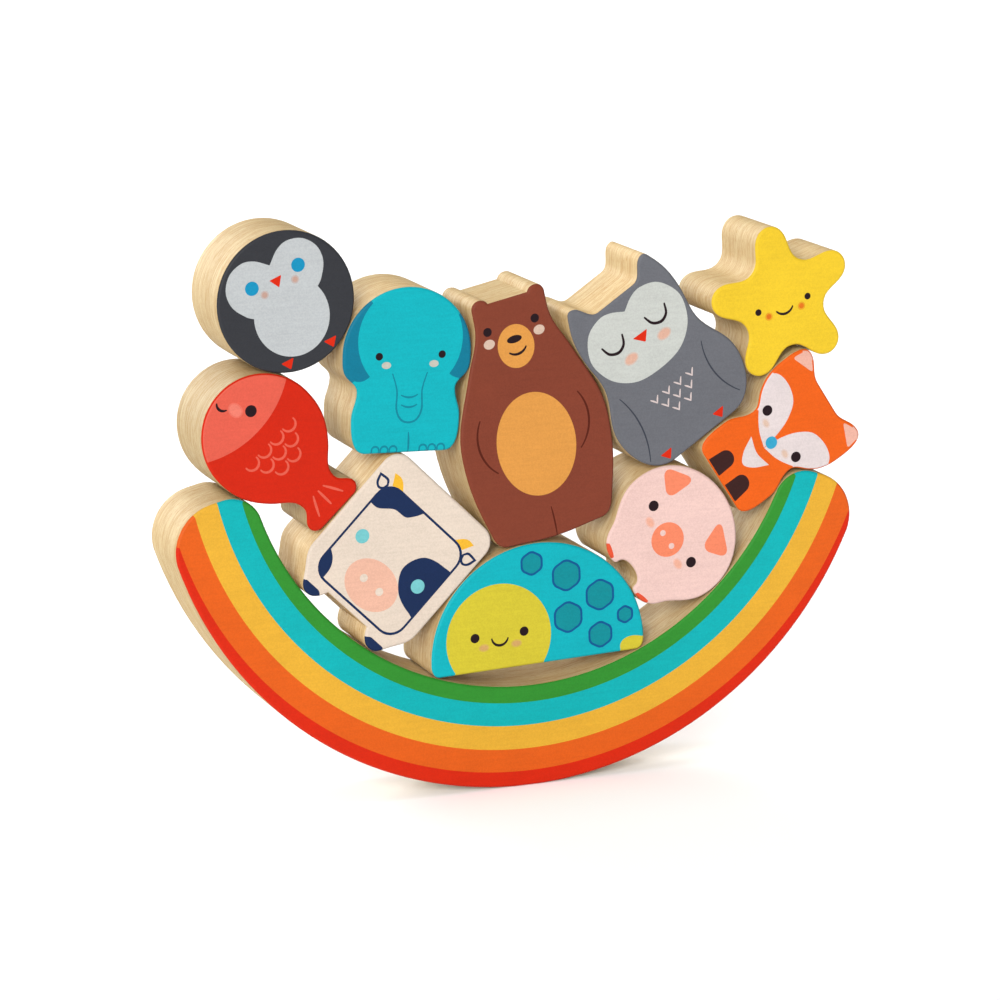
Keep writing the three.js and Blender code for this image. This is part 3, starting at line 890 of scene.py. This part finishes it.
class PUZZLE_OT_cow(bpy.types.Operator):
    """Cream block with navy patches, horns and a broad muzzle"""

    bl_idname = "puzzle.cow"
    bl_label = "Cow"

    def execute(self, context):
        _, sizes = finish_settings()
        line = 1.4 * sizes.line_width / MM
        side, low, high = 17.1, 5.7, 39.6
        head = rounded(((-side, low), (side, low), (side, high), (-side, high)), 5.4)
        side, low, high = side - line, low + line, high - line
        inner = rounded(((-side, low), (side, low), (side, high), (-side, high)), 4.9)
        spots = (
            patch(((4.4, 23.4), (7, 29.6), (13.4, 31.6), (19, 30), (19, 16), (14.4, 15.2), (8.2, 17.6))),
            patch(((-18.6, 41.4), (-19, 33), (-14.4, 31.2), (-9.6, 34.2), (-4.6, 35.2), (-2.4, 41.4))),
            patch(((-19, 13.6), (-15, 13), (-12.6, 9.2), (-13.4, 3.4), (-18.6, 3))),
        )
        hoof = rounded(((8.4, -3), (18, -3), (17, 2.9), (9.8, 2.9)), 1.6)
        hooves = pair("navy", hoof)
        ear = ((15.7, 38), (17, 39.6), (20.4, 39.4), (19.5, 36.7), (17.8, 35.6), (16.2, 36.3))
        ear_hole = ((16.4, 38), (17.3, 38.9), (19.5, 38.8), (18.8, 37), (17.8, 36.3), (16.8, 36.8))
        horn = ((10.9, 39.4), (12.8, 41.4), (14.6, 42.2), (16.7, 42), (15.9, 40.7), (14.8, 38.8))
        face = pair("horn", patch(horn, (0, 3, 5))) + [("navy", head), ("cream", inner)]
        face += [("navy", spot, inner) for spot in spots]
        face += pair("navy", patch(ear, (0, 2))) + pair("cream", patch(ear_hole, (0, 2)))
        face += eyes(((-11.65, 22.5), (11.65, 22.5)), 2.1, "pale_blue")
        face.append(("muzzle", oval(0.4, 13.9, 9, 7)))
        face += eyes(((-2.85, 14), (3.65, 14)), 1.2, "cream")
        make_block("cow", "cream", hooves + face, hooves + [("navy", spot) for spot in spots])
        return {"FINISHED"}


class PUZZLE_OT_pig(bpy.types.Operator):
    """Round pink block with a snout and folded ears"""

    bl_idname = "puzzle.pig"
    bl_label = "Pig"

    def execute(self, context):
        coat = pair("hoof", oval(10.2, -0.4, 5.4, 2.3, 12))
        face = [
            ("salmon", rounded(((-19.6, 28.1), (-9.7, 34.4), (-10.4, 23.4)), 3.4)),
            ("salmon", rounded(((5.2, 34), (17, 29.4), (8.9, 23.6)), 3.4)),
            ("salmon", oval(-0.35, 17.1, 5.2)),
        ]
        face += cheeks(((-8.25, 15.6), (7.85, 15.6)), 1.7, 1.1, "pig_cheek", "pink")
        face += eyes(((-11.65, 19.2), (10.15, 19.2)), 1.6)
        face += eyes(((-2.95, 17), (2.05, 17)), 0.9, "pink")
        make_block("pig", "pink", coat + face, coat)
        return {"FINISHED"}


class PUZZLE_OT_bear(bpy.types.Operator):
    """Tall brown block with a tan muzzle and belly"""

    bl_idname = "puzzle.bear"
    bl_label = "Bear"

    def execute(self, context):
        _, sizes = finish_settings()
        line = sizes.line_width / MM
        arm_line = 1.3 * line
        face = [
            ("tan", oval(-0.4, 28.6, 12.2, 15.4)),
            ("deep_brown", stroke(line, (0.1, 9.1), (0.3, 4.8), (0.2, 0.4))),
            ("deep_brown", stroke(arm_line, (-15.8, 40), (-17.6, 31), (-13.6, 23.6))),
            ("deep_brown", stroke(arm_line, (15, 40), (16.8, 31), (12.8, 23.6))),
            ("tan", oval(-0.5, 58.3, 5.6, 6.4)),
            ("dark", oval(-0.6, 60.4, 2.3, 1.1)),
            smile((-2.8, 56.8), (-0.2, 55.9), (2.4, 57.4)),
            ("bear_cheek", oval(-8.3, 61, 1.7, 1.4)),
            ("bear_cheek", oval(7.3, 61, 1.7, 1.4)),
        ]
        face += eyes(((-8.1, 64.6), (6.7, 64.6)), 1.3)
        make_block("bear", "brown", face)
        return {"FINISHED"}


class PUZZLE_OT_fox(bpy.types.Operator):
    """Orange block with pale cheeks, pointed ears and dark paws"""

    bl_idname = "puzzle.fox"
    bl_label = "Fox"

    def execute(self, context):
        jaw = ((-0.1, 16.5), (-5.6, 18.1), (-11, 21.4), (-15.4, 25.6), (-17.2, 29.8))
        brow = ((-15.4, 32.2), (-10.9, 32.9), (-6, 31.5), (-2.8, 27.6), (-1, 23), (-0.1, 18))
        cheek = patch(jaw + brow, (0, 10))
        ear = rounded(((-17.1, 38.2), (-16.3, 43.2), (-14.2, 43.6), (-9.4, 41.2)), 1.1)
        paw = rounded(((-8.4, -3), (-1.6, -3), (-2, 7.4), (-7.2, 7.4)), 2.4)
        paws = pair("fox_dark", paw)
        chest = patch(((-5.4, 15), (0, 13.8), (5.4, 15), (3, 10.6), (0, 8.4), (-3, 10.6)), (0, 2))
        face = pair("fox_pale", cheek) + pair("fox_ear", ear)
        face += [("fox_pale", chest), ("nose_blue", oval(0.2, 19.2, 1.9))]
        face += cheeks(((-5.8, 20.9), (5.8, 20.9)), 1.4, 0.9, "fox_cheek", "fox_pale")
        face += eyes(((-8.8, 23.3), (8.8, 23.3)), 1.6)
        make_block("fox", "fox", paws + face, paws, rimmed=True)
        return {"FINISHED"}


class PUZZLE_OT_fish(bpy.types.Operator):
    """Red block with a coral head and rows of scales"""

    bl_idname = "puzzle.fish"
    bl_label = "Fish"

    def execute(self, context):
        _, sizes = finish_settings()
        line = 1.5 * (sizes.line_width / MM)
        coat = [("coral", oval(0.2, 64.2, 29.9))]
        for x, z in in_rows(((4, 29.4), (3, 25.8), (2, 22.2)), spacing=5):
            coat.append(("coral", stroke(line, (x - 2.1, z), (x, z - 2.3), (x + 2.1, z))))
        for x in (-4.6, 0, 4.6):
            coat.append(("coral", stroke(line, (0.45 * x, 8.8), (0.75 * x, 6.2), (1.05 * x, 3.4))))
        face = [
            *cheeks(((-0.2, 43.5),), 1.7, 2.2, "coral_cheek", "coral"),
            ("dark", oval(2.7, 40, 1.7)),
            smile((-2.6, 48.8), (-3.2, 46.9), (-2, 45.5)),
        ]
        make_block("fish", "fish", coat + face, coat, rimmed=True)
        return {"FINISHED"}


class PUZZLE_OT_owl(bpy.types.Operator):
    """Grey block with a pale heart face and a marked breast"""

    bl_idname = "puzzle.owl"
    bl_label = "Owl"

    def execute(self, context):
        _, sizes = finish_settings()
        line = sizes.line_width / MM
        lid = 1.15 * sizes.smile_width / MM
        half = ((4, 49), (7.8, 49.6), (12.8, 47.6), (16, 42.6), (16.4, 37.6), (13.8, 31.4), (8, 26.9))
        coat = []
        for x, z in in_rows(((4, 19.6), (3, 16.6), (2, 13.6)), spacing=4.4):
            for side in (-1, 1):
                mark = stroke(line, (x + 1.3 * side, z), (x + 0.6 * side, z - 0.9), (x, z - 1.9))
                coat.append(("owl_mark", mark))
        coat.append(("owl_line", stroke(line, (-15.4, 26), (-14.6, 14), (-17.9, 4.6))))
        coat.append(("owl_line", stroke(line, (14.4, 24.4), (12.9, 13), (16.2, 4.6))))
        for x in (-12.4, 7.4):
            coat.append(("red", rounded(((x - 2.1, 4), (x + 2.1, 4), (x, 1.2)), 0.4)))
        face = [
            ("owl_pale", heart(0, 46.6, half, 25.7)),
            *cheeks(((-5.9, 33.7), (6.3, 33.5)), 2.2, 1.5, "owl_cheek", "owl_pale"),
            ("dark", stroke(lid, (-11.6, 41.8), (-10.6, 39), (-8, 37.7), (-5.5, 38.8), (-4.3, 41.5))),
            ("dark", stroke(lid, (4, 41.2), (5.1, 38.4), (7.7, 37.1), (10.1, 38.2), (11.2, 40.9))),
            ("red", rounded(((-2.4, 38.3), (2.8, 38.1), (0.4, 35.1)), 0.4)),
        ]
        make_block("owl", "grey", coat + face, coat)
        return {"FINISHED"}


class PUZZLE_OT_elephant(bpy.types.Operator):
    """Turquoise block with darker ears behind a round head"""

    bl_idname = "puzzle.elephant"
    bl_label = "Elephant"

    def execute(self, context):
        _, sizes = finish_settings()
        line = 1.2 * sizes.line_width / MM
        trunk_left = ((-4.4, 22.8), (-3, 18), (-3, 12.6), (-1.6, 9.6))
        trunk_right = ((3.2, 9.6), (4.6, 12.6), (4.6, 18), (6, 22.8))
        coat = [
            ("ear_blue", oval(-14.3, 33.4, 6.8, 12.5)),
            ("ear_blue", oval(15.8, 33.4, 6.8, 12.5)),
            ("turquoise", oval(0.75, 32.5, 15.7)),
        ]
        face = [
            ("trunk_line", stroke(line, *trunk_left, (0.8, 8.7), *trunk_right)),
            ("trunk_line", stroke(line, (-1.6, 16.6), (0.8, 15.9), (3.2, 16.6))),
            ("trunk_line", stroke(line, (-1.5, 13.8), (0.8, 13.1), (3.1, 13.8))),
            ("trunk_line", stroke(line, (0.8, 5.8), (0.9, 3.2), (0.8, 0.6))),
        ]
        toe_spacing = 2.7
        for foot in (-6.4, 8):
            for k in (-1, 0, 1):
                x = foot + toe_spacing * k
                face.append(("trunk_line", stroke(line, (x - 1, 0.5), (x, 2.1), (x + 1, 0.5))))
        face.append(("elephant_cheek", oval(-6.35, 25.3, 1.4, 1)))
        face.append(("elephant_cheek", oval(7.95, 25.3, 1.4, 1)))
        face += eyes(((-8.55, 27.9), (10.35, 27.9)), 1.1)
        make_block("elephant", "turquoise", coat + face, coat)
        return {"FINISHED"}


class PUZZLE_OT_penguin(bpy.types.Operator):
    """Round charcoal block with a pale heart face and belly"""

    bl_idname = "puzzle.penguin"
    bl_label = "Penguin"

    def execute(self, context):
        half = ((3.3, 14.6), (6.9, 15.7), (11.2, 14.4), (14.1, 10.8), (14.5, 6.6), (12.8, 2.9), (9.2, -0.4))
        face = [
            ("penguin_pale", oval(-0.2, -4.4, 11, 11.4)),
            ("penguin_pale", heart(-0.2, 11.6, half, -3)),
            *cheeks(((-4.85, 4.7), (4.85, 4.7)), 1, 1, "penguin_cheek", "penguin_pale"),
            ("red", rounded(((-2.05, 7.7), (1.75, 7.7), (-0.2, 4.7)), 0.3)),
        ]
        for x in (-6.5, 7.2):
            face.append(("red", rounded(((x - 2, -15.2), (x + 2, -15.2), (x, -18)), 0.4)))
        face += eyes(((-7.45, 8), (7.25, 8)), 2, "eye_blue")
        make_block("penguin", "charcoal", face, under_top=20.1)
        return {"FINISHED"}


class PUZZLE_OT_star(bpy.types.Operator):
    """Plump yellow star with a small face"""

    bl_idname = "puzzle.star"
    bl_label = "Star"

    def execute(self, context):
        face = cheeks(((-5.4, -2.8), (5.4, -2.8)), 1, 1, "star_cheek", "star")
        face.append(smile((-2.7, -2.1), (0, -3.5), (2.6, -2)))
        face += eyes(((-8.4, -0.6), (7.9, -0.6)), 1)
        make_block("star", "star", face, under_top=23)
        return {"FINISHED"}


# Stage

def make_floor(stage):
    """Pale floor under the puzzle"""
    sheet = bmesh.new()
    bmesh.ops.create_grid(sheet, x_segments=1, y_segments=1, size=stage.floor_size / 2)
    mesh = bpy.data.meshes.new("floor")
    sheet.to_mesh(mesh)
    sheet.free()
    floor = add_object("floor", mesh)
    material = bpy.data.materials.new("floor")
    material.use_nodes = True
    shader = material.node_tree.nodes["Principled BSDF"]
    shader.inputs["Base Color"].default_value = (*stage.floor_colour, 1)
    shader.inputs["Roughness"].default_value = FLOOR_ROUGHNESS
    shader.inputs["Specular IOR Level"].default_value = 0
    mesh.materials.append(material)


def make_lights(stage):
    """White sky and three soft lamps"""
    world = bpy.data.worlds.new("studio")
    world.use_nodes = True
    sky = world.node_tree.nodes["Background"]
    sky.inputs["Color"].default_value = (1, 1, 1, 1)
    sky.inputs["Strength"].default_value = stage.sky
    bpy.context.scene.world = world
    lamps = (
        ("key", stage.key, stage.key_way),
        ("top", stage.top, Vector((0, 0, 1))),
        ("rear", stage.rear, stage.rear_way),
    )
    for name, energy, way in lamps:
        lamp = bpy.data.lights.new(name, "SUN")
        lamp.energy = energy
        lamp.angle = stage.softness
        light = add_object(name, lamp)
        light.location = way
        light.rotation_euler = way.to_track_quat("Z", "Y").to_euler()


def make_camera(stage):
    """Camera to the left of the front, a little above the level"""
    lens = bpy.data.cameras.new("camera")
    lens.lens = stage.lens
    lens.sensor_fit = "HORIZONTAL"
    lens.sensor_width = SENSOR_WIDTH
    camera = add_object("camera", lens)
    level = math.cos(stage.elevation)
    aside, forward = math.sin(stage.azimuth) * level, -math.cos(stage.azimuth) * level
    back = Vector((aside, forward, math.sin(stage.elevation)))
    camera.location = stage.aim + stage.distance * back
    camera.rotation_euler = (-back).to_track_quat("-Z", "Y").to_euler()
    bpy.context.scene.camera = camera


class PUZZLE_OT_stage(bpy.types.Operator):
    """Pale floor, soft studio light and the camera"""

    bl_idname = "puzzle.stage"
    bl_label = "Stage"

    def execute(self, context):
        stage = context.scene.puzzle_stage
        make_floor(stage)
        make_lights(stage)
        make_camera(stage)
        context.scene.view_settings.view_transform = "Standard"
        return {"FINISHED"}


OPERATORS = (
    PUZZLE_OT_rainbow,
    PUZZLE_OT_turtle,
    PUZZLE_OT_cow,
    PUZZLE_OT_pig,
    PUZZLE_OT_bear,
    PUZZLE_OT_fox,
    PUZZLE_OT_fish,
    PUZZLE_OT_owl,
    PUZZLE_OT_elephant,
    PUZZLE_OT_penguin,
    PUZZLE_OT_star,
    PUZZLE_OT_stage,
)


class PUZZLE_PT_sidebar(bpy.types.Panel):
    """The puzzle's operators and settings"""

    bl_idname = "PUZZLE_PT_sidebar"
    bl_label = "Rainbow puzzle"
    bl_space_type = "VIEW_3D"
    bl_region_type = "UI"
    bl_category = "Puzzle"

    def draw(self, context):
        for each in OPERATORS:
            self.layout.operator(each.bl_idname)
        for group in (context.scene.puzzle_sizes, context.scene.puzzle_paints, context.scene.puzzle_stage):
            box = self.layout.box()
            for setting in group.bl_rna.properties:
                if setting.identifier not in ("rna_type", "name"):
                    box.prop(group, setting.identifier)


CLASSES = (PUZZLE_PG_paints, PUZZLE_PG_sizes, PUZZLE_PG_stage, *OPERATORS, PUZZLE_PT_sidebar)


def register():
    for each in CLASSES:
        bpy.utils.register_class(each)
    bpy.types.Scene.puzzle_paints = PointerProperty(type=PUZZLE_PG_paints)
    bpy.types.Scene.puzzle_sizes = PointerProperty(type=PUZZLE_PG_sizes)
    bpy.types.Scene.puzzle_stage = PointerProperty(type=PUZZLE_PG_stage)


def unregister():
    del bpy.types.Scene.puzzle_stage
    del bpy.types.Scene.puzzle_sizes
    del bpy.types.Scene.puzzle_paints
    for each in reversed(CLASSES):
        bpy.utils.unregister_class(each)


def main():
    register()
    bpy.ops.puzzle.rainbow()
    bpy.ops.puzzle.turtle()
    bpy.ops.puzzle.cow()
    bpy.ops.puzzle.pig()
    bpy.ops.puzzle.bear()
    bpy.ops.puzzle.fox()
    bpy.ops.puzzle.fish()
    bpy.ops.puzzle.owl()
    bpy.ops.puzzle.elephant()
    bpy.ops.puzzle.penguin()
    bpy.ops.puzzle.star()
    bpy.ops.puzzle.stage()


if __name__ == "__main__":
    main()
